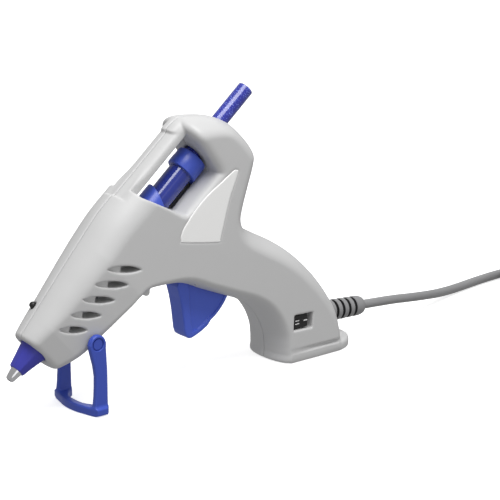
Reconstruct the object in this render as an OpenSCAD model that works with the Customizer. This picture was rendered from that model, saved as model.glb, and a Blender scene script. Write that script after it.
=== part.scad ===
// Hobby hot-glue gun with a folding stand, a see-through feed window and a twin-flex cord.
// Units are millimetres. +Z is up, the nozzle points to -X and down, Y = 0 is the joint plane
// between the two housing halves. Barrel positions are given as (s, t): s runs along the
// barrel from the nozzle tip to the rear, t is square to it and points up.

/* [Barrel] */
// Angle of the barrel above the bench, degrees
barrel_angle = 40.5; // [38:0.5:43]
// Height of the nozzle tip above the bench
tip_height = 19.5; // [17:0.5:22]
// Radius of the glue stick
stick_r = 3.5; // [3.4:0.05:3.6]
// Distance from the nozzle tip to the end of the glue stick
stick_end = 160; // [146:1:175]
// Radius of the melt chamber
chamber_r = 6.5; // [6:0.1:7]

/* [Housing] */
// Half of the housing's width
half_width = 14.5; // [13:0.5:16]
// Wall thickness
wall = 2.2; // [1.8:0.1:2.6]
// Radius of the foot's rounded tongue
tongue_r = 14; // [12:0.5:14]
// Height of the foot plate
foot_height = 4.5; // [4:0.5:6]

/* [Feed] */
// Trigger swing, degrees
trigger_swing = 20; // [16:1:20]
// Radius of the trigger's rear arc
trigger_r = 24.3; // [22:0.1:24.5]
// Half of the trigger's width
trigger_half = 4.8; // [4.4:0.1:5]
// Radius of the carriage neck
neck_r = 5.9; // [5.6:0.1:6.1]
// Radius of the carriage collar
collar_r = 6.8; // [6.5:0.1:7]

/* [Stand] */
// Radius of the stand's pivot eyes
eye_r = 3.9; // [3.5:0.1:4.2]
// Inside half width between the stand's legs
stand_inner = 12.2; // [12:0.1:12.6]
// Thickness of a stand leg
leg_t = 2.6; // [2.4:0.1:3]

/* [Cord] */
// Diameter of the round cord that stands for the flat twin flex
cord_d = 4; // [3.6:0.1:4.4]
// Mean radius of the wound part of the cord
coil_r = 22; // [21:1:25]

/* [Hidden] */
$fn = 48;
tip_x = -95;
half_swing = trigger_swing / 2;
// Trigger pivot and drive pin.
pivot = [-8, 46.5];
pin_r = 1.5;
pivot_s = 83.7;
pivot_t = -36;
bar_t = -13;
drive_s = pivot_s + (bar_t - pivot_t) * tan(half_swing);
arm_len = (bar_t - pivot_t) / cos(half_swing);
// Stand pivot.
stand_x = -61.5;
stand_z = 31;
// Cord exit: axis through the back of the grip, tipped down a little.
boot_x = 72;
boot_z = 14.6;
boot_tip = 3.2;
// Middle of the wound part of the cord.
coil_x = 218;
coil_y = -7;
// Housing screws, in x and z.
screws = [[-54, 38.5], [11.5, 96.5], [50, 41], [46, 8]];
// Window in the barrel, in s and t.
window = [[88.8, 25], [89.2, 13.6], [96.9, -5.6], [98.4, -7], [121.2, -7], [121.8, -5.6],
    [122.2, -3], [123.6, 13.6], [124.4, 25]];
// Half width of the bridge over the window.
bridge_half = 5;

// A point on the joint plane from its barrel position.
function bp(s, t) = [tip_x + s * cos(barrel_angle) - t * sin(barrel_angle),
    tip_height + s * sin(barrel_angle) + t * cos(barrel_angle)];
function unit(v) = v / norm(v);
function arc(c, r, a0, a1, n) = [for (i = [0 : n])
    [c.x + r * cos(a0 + (a1 - a0) * i / n), c.y + r * sin(a0 + (a1 - a0) * i / n)]];
// Body outline on the joint plane, clockwise from the nozzle face.
// Each entry is a point, the depth of the rounding and the half width there.
function skin_bp(s, t, b, w) = [bp(s, t), b, w];
skin = [skin_bp(15, -7.5, 4, 7.6), skin_bp(14.6, 0, 3, 7.6), skin_bp(15, 8, 4, 7.6),
    skin_bp(16.8, 9.9, 5, 8.3), skin_bp(24, 11, 7, 10), skin_bp(34, 12.6, 9, 11.4),
    skin_bp(46, 14.5, 10, 13), skin_bp(60, 16.6, 11, half_width),
    skin_bp(74, 18.6, 11.5, half_width), skin_bp(93, 18.7, 12, half_width),
    skin_bp(105, 18.7, 12, half_width), skin_bp(119, 18.7, 12, half_width),
    skin_bp(125, 17.2, 12, half_width), skin_bp(131, 14.3, 11, half_width),
    skin_bp(136.7, 10, 10, half_width), skin_bp(140.4, 5, 9, half_width),
    skin_bp(142, -1, 8, half_width), skin_bp(142.7, -8, 8, half_width),
    skin_bp(142.8, -14, 8, half_width), [[25, 96.5], 8, half_width], [[24, 90.5], 8, half_width],
    [[21.2, 82], 8, half_width], [[18.7, 74], 8, half_width], [[18.2, 69.5], 8, half_width],
    [[21.5, 65.6], 8, half_width], [[29, 61.3], 9, half_width], [[39, 56], 9, half_width],
    [[48, 49.8], 9, half_width], [[55.5, 43], 9, half_width], [[62, 35.2], 9, half_width],
    [[67.3, 27], 8, half_width], [[71.2, 19.5], 8, half_width], [[73.2, 12], 7, half_width],
    [[74, 5], 5, half_width], [[74, 0], 1.5, half_width], [[38, 0], 1.5, half_width],
    [[36.8, 4], 3.5, half_width], [[36.6, 8], 5, half_width], [[35.8, 13.2], 5, half_width],
    [[32.6, 20.2], 5, half_width], [[27.4, 26.6], 5, half_width], [[20, 31.4], 5, half_width],
    [[10, 35.5], 5, half_width], [[-3, 41], 5, half_width], [[-15, 46], 5, half_width],
    skin_bp(66, -20, 4, half_width), skin_bp(60.5, -18.4, 4, half_width),
    skin_bp(56, -18.4, 6, half_width), skin_bp(46, -18.2, 7, 13), skin_bp(34, -17.8, 7, 11.4),
    skin_bp(26, -16.8, 6, 10), skin_bp(17.5, -13.4, 4, 8.3)];
skin_n = len(skin);
function skin_dir(i) = let (a = skin[(i + skin_n - 1) % skin_n][0], c = skin[i][0],
    d = skin[(i + 1) % skin_n][0], u = unit(c - a), v = unit(d - c),
    m = unit([u.y + v.y, -u.x - v.x])) m / max(0.6, m * [u.y, -u.x]);
rings = 4;
// One ring of the body, from the joint plane (0) out to the flat of the side.
function ring(k, side) = let (f = 90 * k / rings) [for (i = [0 : skin_n - 1])
    let (p = skin[i][0] + skin_dir(i) * skin[i][1] * (1 - cos(f)))
        [p.x, side * skin[i][2] * sin(f), p.y]];
function flip(f, on) = on ? [for (i = [len(f) - 1 : -1 : 0]) f[i]] : f;

// Half of the body as a solid, from the joint plane to one side.
module body_half(side) {
    n = skin_n;
    top = rings * n;
    pts = [for (k = [0 : rings]) each ring(k, side)];
    wallf = [for (k = [0 : rings - 1]) for (i = [0 : n - 1]) let (j = (i + 1) % n)
        each [[k * n + i, k * n + j, (k + 1) * n + j], [k * n + i, (k + 1) * n + j, (k + 1) * n + i]]];
    nose = [[0, 1, n - 1], [1, 2, n - 1], [2, 3, n - 1]];
    strip = [for (i = [3 : 6]) let (a = i, b = i + 1, c = n + 1 - i, d = n + 2 - i)
        each [[a, b, c], [a, c, d]]];
    side_face = [[for (i = [7 : n - 5]) i]];
    caps = [for (f = concat(nose, strip, side_face)) [for (v = f) top + v]];
    flat = [[for (i = [n - 1 : -1 : 0]) i]];
    all = [for (f = concat(wallf, caps, flat)) flip(f, side > 0)];
    polyhedron(points = pts, faces = all, convexity = 8);
}

// Places children in barrel axes: x along the barrel, z square to it and up.
module barrel(s = 0, t = 0) {
    translate([tip_x, 0, tip_height]) rotate([0, -barrel_angle, 0]) translate([s, 0, t]) children();
}
// A round bar along the barrel.
module round_s(s0, s1, r0, r1 = -1) {
    barrel(s0) rotate([0, 90, 0]) cylinder(h = s1 - s0, r1 = r0, r2 = r1 < 0 ? r0 : r1);
}
module box_s(s0, s1, y0, y1, t0, t1) {
    barrel() translate([s0, y0, t0]) cube([s1 - s0, y1 - y0, t1 - t0]);
}
// A prism along Y from an outline in x and z.
module plate(y0, y1) {
    translate([0, y1, 0]) rotate([90, 0, 0]) linear_extrude(height = y1 - y0) children();
}
module bar_y(x, z, y0, y1, r) {
    translate([x, y0, z]) rotate([-90, 0, 0]) cylinder(h = y1 - y0, r = r);
}
// A length along Y on one side, from the joint plane outwards.
module side_bar(x, z, a, b, r, side) {
    bar_y(x, z, side > 0 ? a : -b, side > 0 ? b : -a, r);
}

// Places children along the cord exit: z runs out of the grip.
module boot(h = 0) {
    translate([boot_x, 0, boot_z]) rotate([0, 90 + boot_tip, 0]) translate([0, 0, h]) children();
}

// ---- housing ----

// Lens outline lying along X, centred, for the vents.
function lens(len, h) = let (r = (len * len / 4 + h * h / 4) / h, a = asin(len / 2 / r))
    concat([for (i = [0 : 5]) let (q = -a + 2 * a * i / 5) [r * sin(q), r * cos(q) - r + h / 2]],
        [for (i = [1 : 4]) let (q = a - 2 * a * i / 5) [r * sin(q), r - h / 2 - r * cos(q)]]);

// Five louvres on each side, cut through the wall and a little wider at its face.
module louvres(side) {
    vents = [[-47.5, 60.1, 17.2], [-53.5, 54.7, 16.3], [-59.3, 49.1, 15.3], [-65, 43.5, 14.5],
        [-70.8, 38.1, 13.2]];
    for (v = vents) translate([v.x, 0, v.y]) rotate([0, 10.5, 0]) hull() {
        layer(7, 7.2, side) polygon(lens(v.z - 1, 1.8));
        layer(15, 15.2, side) polygon(lens(v.z + 0.4, 3));
    }
}
// A round boss on the inner wall, wider at its root.
module boss(x, z, a, b, r, side) {
    hull() {
        side_bar(x, z, a, b, r, side);
        side_bar(x, z, b, b + 0.2, r + 0.4, side);
    }
}

module screw_hole(p, side) {
    if (side > 0) {
        side_bar(p.x, p.y, -1, 4, 1.5, 1);
        side_bar(p.x, p.y, 3, half_width + 2, 2.8, 1);
    } else side_bar(p.x, p.y, -1, 9.5, 1.27, -1);
}
// Outlines of the hollow at three depths from the joint plane, clear of the block round the window.
function behind(t0, t1) = [bp(86, t0), bp(86, -9.3), bp(125.8, -9.3), bp(125.8, t1)];
hollow_mid = concat([bp(17.5, -8), bp(17.5, 5.5), bp(26, 7.2), bp(46, 11), bp(60, 13), bp(74, 15)],
    behind(15, 12.5), [bp(131, 10), bp(137.5, 3), bp(139, -2), bp(139.8, -13), [22.4, 96],
    [21.4, 90.5], [18.6, 82.5], [16.2, 74.5], [15.7, 68.5], [20.2, 63.3], [28, 59], [38, 53.7],
    [46.8, 47.6], [53.9, 41.2], [60.1, 33.6], [65.2, 25.8], [68.9, 18.8], [70.8, 11.6],
    [71.4, 4.5], [39.5, 4.5], [39, 8], [37.4, 14], [33.6, 21.3], [28, 27.8], [20.5, 33.1],
    [11, 37.9], [-2.2, 43.3], [-14.6, 48.2], bp(66, -17.5), bp(61, -15), bp(46, -14.8),
    bp(34, -14.4), bp(26, -13.2), bp(19.5, -10.5)]);
hollow_near = concat([bp(32, -10.8), bp(32, 6.5), bp(46, 9.5), bp(60, 12.2), bp(74, 14)],
    behind(14, 10), [bp(130, 8), bp(136, 1), bp(137.6, -4), bp(138.2, -12.5), [20.6, 94.6],
    [19.8, 90], [17, 82.5], [14.6, 74.5], [14.2, 68], [18.8, 61.8], [27, 57.2], [37, 51.9],
    [45.5, 46], [52.4, 39.8], [58.5, 32.4], [63.5, 24.8], [67, 18], [68.8, 11.4], [69.4, 4.5],
    [40.8, 4.5], [40.4, 8.5], [38.8, 14.6], [35, 22.2], [29.3, 28.9], [21.4, 34.6],
    [11.8, 39.4], [-1.4, 44.8], [-14, 49.7], bp(66, -16.4), bp(60.5, -13.6), bp(46, -12.9)]);
hollow_far = concat([bp(58, -11.5), bp(58, 9), bp(74, 11.4)], behind(11.4, 4), [bp(131, 0),
    bp(134, -6), bp(134.6, -13), [18, 92.6], [17, 88], [14.4, 81], [12, 74], [11.7, 66.5],
    [16.4, 59.6], [25, 54.6], [34.8, 49.4], [43, 43.7], [49.7, 37.7], [55.6, 30.4], [60.4, 23],
    [63.8, 16.8], [65.6, 11], [66.2, 4.5], [43, 4.5], [42.8, 9.4], [41, 15.8], [37, 23.8],
    [31, 30.7], [22.8, 36.7], [12.8, 41.7], [-0.4, 47.1], [-13.2, 52], bp(66, -14.8)]);
module layer(y0, y1, side) {
    plate(side > 0 ? y0 : -y1, side > 0 ? y1 : -y0) children();
}
// The hollow inside one half, less its ribs and bosses.
module hollow(side) {
    difference() {
        union() {
            layer(-1, 6.5, side) polygon(hollow_mid);
            layer(6.4, 9.2, side) polygon(hollow_near);
            layer(9.1, half_width - wall, side) polygon(hollow_far);
        }
        box_s(23.5, 25.5, -16, 16, -9, 30);
        box_s(63, 65, -16, 16, -8, 30);
        for (p = screws) boss(p.x, p.y, -2, 16, side > 0 ? 3.6 : 3, side);
        boss(pivot.x, pivot.y, 5.1, 16, 4, side);
    }
}

module housing(side) {
    $fn = 24;
    bump = bp(63.6, -18.6);
    difference() {
        union() {
            body_half(side);
            side_bar(stand_x, stand_z, 6, 11.9, 3.6, side);
            side_bar(bump.x, bump.y, 0, 12, 1.7, side);
            linear_extrude(height = foot_height) polygon([for (p = concat([[41, 0], [41, 13],
                [42.2, 14.2], [58, 14.2]], arc([68.2, 0], tongue_r, 77, 0, 14)))
                [p.x, side * p.y]]);
        }
        hollow(side);
        round_s(13, 22, 6.3);
        round_s(21, 26, 6.55);
        round_s(62, 66, 6.55);
        round_s(85, 98, neck_r + 1.45);
        round_s(120, 146, 4.3);
        plate(-20, 20) polygon([for (p = window) if (p.y < 20) bp(p.x, p.y)]);
        side_bar_window(side);
        box_s(99, 121, -2.4, 2.4, -10, -6);
        plate(-5.2, 5.2) polygon([[-16.6, 52], [-16.6, 42], [-5, 34], [12.4, 31], [17, 35],
            [17.4, 42]]);
        side_bar(stand_x, stand_z, 7.6, 20, 1.55, side);
        bar_y(pivot.x, pivot.y, -11.2, 11.2, pin_r + 0.02);
        for (p = screws) screw_hole(p, side);
        louvres(side);
        boot(-8) cylinder(h = 14, r = 4.95);
        if (side < 0) {
            plate(-16, -10) polygon([[42.6, 22.1], [53.2, 21.8], [52.6, 14.6], [42.2, 15]]);
            plate(-16, -half_width + 0.4) polygon(label_outline);
        } else barrel(29, 0) translate([0, 4.2, 6]) cylinder(h = 10, r = 1.6);
    }
}
// The part of the window outside the bridge, open through the crown.
module side_bar_window(side) {
    plate(side > 0 ? bridge_half : -20, side > 0 ? 20 : -bridge_half)
        polygon([for (p = window) bp(p.x, p.y)]);
}
label_outline = [[8.7, 92.8], [10.4, 92.9], [11.2, 91.5], [6.7, 81.1], [3.4, 70], [2.2, 66.2],
    [1.6, 64.2], [0.2, 63.2], [-17.6, 66.2], [-18.9, 67.3], [-18.8, 69.6], [-16.4, 73.7],
    [-7.5, 82.6], [3, 89.3]];

module left_housing() {
    color([0.72, 0.72, 0.72]) union() housing(-1);
}
module right_housing() {
    color([0.72, 0.72, 0.72]) union() housing(1);
}
module housing_screws() {
    color([0.5, 0.5, 0.52]) for (p = screws) {
        bar_y(p.x, p.y, -8.5, 4.1, 1.25);
        difference() {
            bar_y(p.x, p.y, 4, 6, 2.6);
            bar_y(p.x, p.y, 5, 7, 0.9);
        }
    }
}
module label_plate() {
    color([0.93, 0.93, 0.9]) plate(-half_width - 0.1, -half_width + 0.4)
        polygon(label_outline);
}
module indicator_lamp() {
    color([0.1, 0.1, 0.1]) barrel(29, 0) translate([0, 4.2, 7.4]) {
        cylinder(h = 4.9, r = 1.55);
        translate([0, 0, 4.9]) sphere(r = 1.55);
    }
}

// ---- hot end ----

module nozzle() {
    color([0.8, 0.8, 0.82]) barrel() rotate([0, 90, 0]) rotate_extrude()
        polygon([[0.8, 0], [1.5, 0], [1.9, 0.7], [2.5, 4.3], [3.6, 12], [4.6, 12.5], [4.6, 17],
            [3, 17], [3, 26], [1.6, 26], [1.6, 4], [0.8, 2]]);
}
module nozzle_cover() {
    color([0.24, 0.24, 0.66]) barrel() rotate([0, 90, 0]) rotate_extrude()
        polygon([[2.5, 4.3], [3.2, 4.3], [3.4, 4.7], [5.9, 15.2], [6.1, 15.6], [6.1, 21.5],
            [4.8, 21.5], [4.8, 12], [3.7, 11.6]]);
}
module melt_chamber() {
    color([0.75, 0.76, 0.78]) difference() {
        union() {
            round_s(22.5, 68, chamber_r);
            round_s(68, 75, 5.2);
        }
        round_s(22, 28, 3);
        round_s(27.9, 32, 1.8, stick_r + 0.35);
        round_s(31.9, 76, stick_r + 0.35);
        box_s(34, 60, -5, 5, 5.4, 8);
    }
}
module heater() {
    color([0.9, 0.88, 0.82]) box_s(36, 58, -4, 4, 5.4, 7.6);
}
module insulation() {
    color([0.82, 0.7, 0.45]) box_s(35, 59, -4.6, 4.6, 7.6, 8);
}
module heater_clip() {
    color([0.7, 0.72, 0.75]) difference() {
        union() {
            round_s(42, 52, chamber_r + 0.6);
            box_s(42, 52, -chamber_r - 0.6, chamber_r + 0.6, 0, 8.6);
        }
        round_s(41, 53, chamber_r);
        box_s(41, 53, -chamber_r, chamber_r, 0, 8);
    }
}
module inlet_sleeve() {
    color([0.75, 0.25, 0.2]) difference() {
        union() {
            round_s(69, 76, 6.2);
            round_s(76, 80, 6.2, 5);
        }
        round_s(68, 75, 5.2);
        round_s(74, 81, stick_r + 0.08);
    }
}
module sleeve_clamp() {
    color([0.7, 0.72, 0.75]) difference() {
        round_s(71, 73, 6.8);
        round_s(70, 74, 6.2);
    }
}
module guide_tube() {
    color([0.3, 0.36, 0.72]) difference() {
        union() {
            round_s(84, 86, 8.4);
            round_s(85, 100, neck_r + 1.3);
        }
        round_s(83, 101, neck_r + 0.07);
    }
}

// ---- feed ----

module feed_carriage() {
    color([0.25, 0.33, 0.66]) difference() {
        union() {
            round_s(92, 113, neck_r);
            round_s(113, 121, collar_r);
            box_s(114.5, 119.5, 5, 8.2, -1.5, 1.5);
            box_s(113.6, 120.4, -1.9, 1.9, -15, -5);
            box_s(84.5, 120.4, -1.9, 1.9, -15, -11);
        }
        round_s(91, 122, stick_r + 0.4);
        round_s(114.5, 122, 5);
        barrel(drive_s, bar_t) rotate([90, 0, 0]) translate([0, 0, -5]) cylinder(h = 10, r = pin_r);
    }
}
module gripper() {
    color([0.2, 0.2, 0.2]) difference() {
        round_s(114.5, 120.5, 5);
        round_s(114, 121, stick_r);
    }
}
module glue_stick() {
    color([0.15, 0.15, 0.5]) round_s(58, stick_end, stick_r);
}
module drive_pin() {
    color([0.7, 0.72, 0.75]) barrel(drive_s, bar_t) rotate([90, 0, 0]) translate([0, 0, -4.9])
        cylinder(h = 9.8, r = pin_r);
}

// Trigger, side view: hub round the pivot, finger face, heel and rear arc.
trigger_outline = concat([[-12.6, 47.5], [-13.6, 43.6], [-12.1, 38], [-11, 32], [-10.3, 26],
    [-9.9, 22.6], [-9.2, 20.6], [-7.8, 19.5], [-6.2, 19.4], [-4.4, 20.2], [-1.6, 21.6], [1.6, 23.6]],
    arc(pivot, trigger_r, -62, -6, 14), [[-3, 50.5], [-8, 51.1], [-11.2, 50]]);
// The same outline drawn in, for the shallow panel on each side.
trigger_panel = concat([[-7.6, 36], [-6.8, 27], [-6, 22.8], [-3.2, 23.2], [0.4, 25.2]],
    arc(pivot, trigger_r - 2, -62, -28, 9), [[7, 41]]);
module fork(y0, y1) {
    // The arm stands square to the barrel at half swing, so it leans back by half the swing at rest.
    plate(y0, y1) translate(pivot) rotate(90 + barrel_angle - half_swing) difference() {
        polygon([[-1, -4], [8, -3.6], [arm_len + 3.2, -3.4], [arm_len + 3.2, 3.4], [8, 3.6], [-1, 4]]);
        polygon([[arm_len - 2.6, -pin_r - 0.08], [arm_len + 4, -pin_r - 0.08],
            [arm_len + 4, pin_r + 0.08], [arm_len - 2.6, pin_r + 0.08]]);
    }
}
module trigger() {
    color([0.27, 0.33, 0.7]) difference() {
        union() {
            plate(-trigger_half, trigger_half) polygon(trigger_outline);
            fork(-trigger_half, -2.6);
            fork(2.6, trigger_half);
        }
        bar_y(pivot.x, pivot.y, -6, 6, pin_r + 0.06);
        plate(-2.6, 2.6) polygon(concat([[-20, 53]], [[-12, 44.5], [-7, 41]],
            arc(pivot, trigger_r - 4, -50, -4, 8), [[12, 53]]));
        plate(-6, -trigger_half + 0.8) polygon(trigger_panel);
        plate(trigger_half - 0.8, 6) polygon(trigger_panel);
    }
}
module trigger_pin() {
    color([0.7, 0.72, 0.75]) bar_y(pivot.x, pivot.y, -11, 11, pin_r);
}
module trigger_spring() {
    color([0.6, 0.62, 0.65]) {
        translate([pivot.x, 0, pivot.y]) rotate([90, 0, 0]) rotate_extrude() polygon([[2, -1.8],
            [2.5, -1.8], [2.8, -1.35], [2.5, -0.9], [2.8, -0.45], [2.5, 0], [2.8, 0.45], [2.5, 0.9],
            [2.8, 1.35], [2.5, 1.8], [2, 1.8]]);
        translate([pivot.x, 1.2, pivot.y - 2.4]) rotate([0, 80, 0]) cylinder(h = 12, r = 0.4, $fn = 24);
        translate([pivot.x, -1.2, pivot.y + 2.4]) rotate([0, -75, 0]) cylinder(h = 7, r = 0.4, $fn = 24);
    }
}

// ---- stand ----

module stand_side(side) {
    side_bar(stand_x, stand_z, stand_inner, stand_inner + leg_t, eye_r, side);
    y0 = side > 0 ? stand_inner : -stand_inner - leg_t;
    plate(y0, y0 + leg_t) polygon([[-65, 29.2], [-64.2, 24], [-63.4, 19], [-63.4, 0], [-57.1, 0],
        [-57.1, 20], [-57.6, 31], [-61, 34]]);
    translate([-63.4, side > 0 ? stand_inner + leg_t - 0.2 : -stand_inner - leg_t - 1.4, 0.4])
        cube([5.2, 1.6, 3]);
}
module stand() {
    h = stand_inner + leg_t;
    color([0.27, 0.3, 0.68]) difference() {
        union() {
            stand_side(-1);
            stand_side(1);
            linear_extrude(height = 3.6) polygon([[-63.4, -h], [-65.8, -8], [-66.8, -3], [-66.8, 3],
                [-65.8, 8], [-63.4, h], [-57.6, h], [-57.6, h - leg_t], [-60.4, 9.5], [-62.6, 6],
                [-63.2, 3], [-63.2, -3], [-62.6, -6], [-60.4, -9.5], [-57.6, leg_t - h], [-57.6, -h]]);
        }
        bar_y(stand_x, stand_z, -20, 20, 1.57);
        bar_y(stand_x, stand_z, -20, -h + 1, 2.6);
        bar_y(stand_x, stand_z, h - 1, 20, 2.6);
    }
}
module stand_pins() {
    h = stand_inner + leg_t;
    color([0.27, 0.3, 0.68]) for (side = [-1, 1]) {
        side_bar(stand_x, stand_z, 8.2, h - 0.9, 1.5, side);
        side_bar(stand_x, stand_z, h - 0.95, h - 0.3, 2.2, side);
    }
}

// ---- switch, clamp and wires ----

module switch_body() {
    color([0.12, 0.12, 0.12]) difference() {
        translate([39.6, -9, 13.2]) cube([16, 5, 10.4]);
        translate([41.2, -12, 14.8]) cube([13, 6.6, 7.2]);
    }
}
module switch_slider() {
    color([0.06, 0.06, 0.06]) {
        translate([41.3, -8.9, 15.1]) cube([9.6, 3.2, 6.6]);
        translate([43.4, -13.3, 15.5]) cube([7.2, 4.6, 5.8]);
        translate([44.2, -13.6, 18.9]) cube([2.2, 0.5, 0.7]);
        translate([44.2, -13.6, 17.5]) cube([2.2, 0.5, 0.7]);
    }
}
module cord_clamp() {
    color([0.2, 0.2, 0.2]) difference() {
        translate([52.4, -6, 5]) cube([7, 12, 6.5]);
        translate([50, 0, 11.3]) rotate([0, 90, 0]) cylinder(h = 12, r = 2.3);
    }
}
// A flat lead along a route in x and z, against the inside of the right half.
module lead(pts, w) {
    n = len(pts);
    side = [for (i = [0 : n - 1]) let (d = unit(pts[min(i + 1, n - 1)] - pts[max(i - 1, 0)]))
        [-d.y, d.x] * w / 2];
    plate(5.7, 5.7 + w) polygon(concat([for (i = [0 : n - 1]) pts[i] + side[i]],
        [for (i = [n - 1 : -1 : 0]) pts[i] - side[i]]));
}
module wiring() {
    color([0.55, 0.2, 0.15]) {
        lead([[51.6, 12.6], [48, 14.4], [44, 30], [33, 44], [13, 56], [-7, 62], [-24, 59],
            bp(60, -11.2), bp(50, -10.2)], 1.6);
        lead([[53.6, 14.2], [50.4, 16.2], [46.3, 31], [34.6, 45.7], [14, 58.2], [-7, 64.3],
            [-24.4, 61.2], bp(60, -9), bp(50, -8)], 1.6);
    }
}

// ---- cord ----

// Route of the cord's middle: out of the clamp, through the strain relief, down to the bench.
route = [[53, 0, 15.9], [62, 0, 15.3], [72, 0, 14.6], [83, 0, 14], [94, 0, 13.3], [104, 0.4, 12.5],
    [116, 1.5, 11.2], [128, 3.6, 9.2], [140, 7, 6.9], [152, 11, 4.6], [164, 14.8, 2.9],
    [176, 17.6, 2.15], [190, 19.7, 2.1], [204, 20.8, 2.1], [218, 21, 2.1]];
function mix(a, b, c, d, t) = 0.5 * ((2 * b) + (c - a) * t + (2 * a - 5 * b + 4 * c - d) * t * t
    + (3 * b - a - 3 * c + d) * t * t * t);
route_n = len(route);
line = [for (i = [0 : route_n - 2]) for (t = [0 : 0.25 : 0.99]) mix(route[max(i - 1, 0)],
    route[i], route[i + 1], route[min(i + 2, route_n - 1)], t), route[route_n - 1]];
line_n = len(line);
function heading(i) = unit(line[min(i + 1, line_n - 1)] - line[max(i - 1, 0)]);
module cord() {
    m = 12;
    pts = [for (i = [0 : line_n - 1]) let (d = heading(i), u = unit([-d.y, d.x, 0]), v = cross(d, u))
        for (j = [0 : m - 1]) line[i] + cord_d / 2 * (u * cos(360 * j / m) + v * sin(360 * j / m))];
    sides = [for (i = [0 : line_n - 2]) for (j = [0 : m - 1]) let (k = (j + 1) % m)
        each [[i * m + j, i * m + k, (i + 1) * m + k], [i * m + j, (i + 1) * m + k, (i + 1) * m + j]]];
    ends = [[for (j = [m - 1 : -1 : 0]) j], [for (j = [0 : m - 1]) (line_n - 1) * m + j]];
    color([0.6, 0.6, 0.6]) polyhedron(points = pts, faces = [for (f = concat(sides, ends)) flip(f, true)],
        convexity = 6);
}
module strain_relief() {
    r = 4.9;
    color([0.62, 0.62, 0.62]) boot() difference() {
        rotate_extrude() polygon([[2.1, -6.5], [5.9, -6.5], [5.9, -4.8], [r, -4.8], [r, 3.6],
            [3.7, 3.9], [3.7, 5], [r, 5.3], [r - 0.1, 7.8], [3.6, 8.1], [3.6, 9.2], [r - 0.1, 9.5],
            [r - 0.2, 12], [3.5, 12.3], [3.5, 13.4], [r - 0.2, 13.7], [r - 0.3, 16.2],
            [3.4, 16.5], [3.4, 17.4], [r - 0.4, 17.7], [r - 0.5, 20.4], [3.6, 21.8], [2.1, 22.2]]);
    }
}
module cord_coil() {
    color([0.6, 0.6, 0.6]) translate([coil_x, coil_y, 0]) rotate_extrude() polygon([
        [coil_r - 8, 0.2], [coil_r - 7.4, 0], [coil_r + 7.4, 0], [coil_r + 8, 0.2],
        [coil_r + 8, 4.2], [coil_r + 6, 7.7], [coil_r - 6, 7.7], [coil_r - 8, 4.2]]);
}
module cord_tie() {
    color([0.1, 0.1, 0.1]) translate([coil_x, coil_y - coil_r, 0]) difference() {
        translate([-2, -8.9, 0.05]) cube([4, 17.8, 8.5]);
        translate([-3, -8.2, 0.7]) cube([6, 16.4, 7.2]);
    }
}
// The plug lies on the coil, its pins towards +X.
plug_x = coil_x - 9;
plug_y = coil_y + 17;
plug_z = 14.6;
module plug_body() {
    color([0.6, 0.6, 0.6]) translate([plug_x, plug_y, plug_z]) {
        translate([13, -13, -6.85]) cube([24, 26, 13.7]);
        rotate([0, 90, 0]) cylinder(h = 13.5, r = 4.2);
    }
}
module plug_pins() {
    color([0.75, 0.72, 0.6]) for (y = [-9.3, 9.3]) translate([plug_x + 37, plug_y + y, plug_z])
        rotate([0, 90, 0]) cylinder(h = 18.6, r = 2);
}

left_housing();
right_housing();
housing_screws();
label_plate();
indicator_lamp();
nozzle();
nozzle_cover();
melt_chamber();
heater();
insulation();
heater_clip();
inlet_sleeve();
sleeve_clamp();
guide_tube();
feed_carriage();
gripper();
glue_stick();
drive_pin();
trigger();
trigger_pin();
trigger_spring();
stand();
stand_pins();
switch_body();
switch_slider();
cord_clamp();
wiring();
strain_relief();
cord();
cord_coil();
cord_tie();
plug_body();
plug_pins();
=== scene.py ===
"""Looks of the hot glue gun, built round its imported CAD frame.

Lengths are in millimetres in the CAD's frame, and become metres where a mesh is made.
Plastic mouldings are carved as distance fields: each is a function that is negative inside the
moulding, joined and cut with rounded edges, and skinned by skin(). Turned parts come from lathe().
"""

import math
from itertools import product

import bpy
import numpy as np
from mathutils import Matrix, Vector


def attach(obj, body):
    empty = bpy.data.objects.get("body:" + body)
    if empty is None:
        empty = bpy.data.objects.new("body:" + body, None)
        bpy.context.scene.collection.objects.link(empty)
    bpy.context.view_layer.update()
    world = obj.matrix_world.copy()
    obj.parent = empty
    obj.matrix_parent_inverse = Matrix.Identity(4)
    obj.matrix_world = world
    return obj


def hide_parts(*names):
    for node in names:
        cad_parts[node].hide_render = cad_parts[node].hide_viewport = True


MM = 0.001

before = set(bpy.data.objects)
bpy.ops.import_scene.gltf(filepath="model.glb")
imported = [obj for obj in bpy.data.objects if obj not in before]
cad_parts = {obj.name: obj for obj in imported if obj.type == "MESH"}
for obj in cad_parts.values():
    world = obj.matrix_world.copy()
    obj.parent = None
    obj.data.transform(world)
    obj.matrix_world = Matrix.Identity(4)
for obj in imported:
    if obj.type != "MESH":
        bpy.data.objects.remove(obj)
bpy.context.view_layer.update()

# ---- barrel axes, as in part.scad ----

BARREL = math.radians(40.5)
TIP = (-95.0, 19.5)
HALF_WIDTH = 14.5
PIVOT = (-8.0, 46.5)
STAND_AT = (-61.5, 31.0)
STICK_R = 3.5
TRIGGER_R = 24.3


def bp(s, t):
    """The point (x, z) on the joint plane at barrel position s, t."""
    c, k = math.cos(BARREL), math.sin(BARREL)
    return (TIP[0] + s * c - t * k, TIP[1] + s * k + t * c)


def barrel_axes(x, z):
    """Barrel position s, t of the points x, z."""
    c, k = math.cos(BARREL), math.sin(BARREL)
    dx, dz = x - TIP[0], z - TIP[1]
    return dx * c + dz * k, dz * c - dx * k


def arc(cx, cz, r, start, end, n):
    """Points round a centre from start to end, in degrees."""
    turn = np.radians(np.linspace(start, end, n + 1))
    return [(cx + r * math.cos(a), cz + r * math.sin(a)) for a in turn]


# ---- distance fields ----


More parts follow.
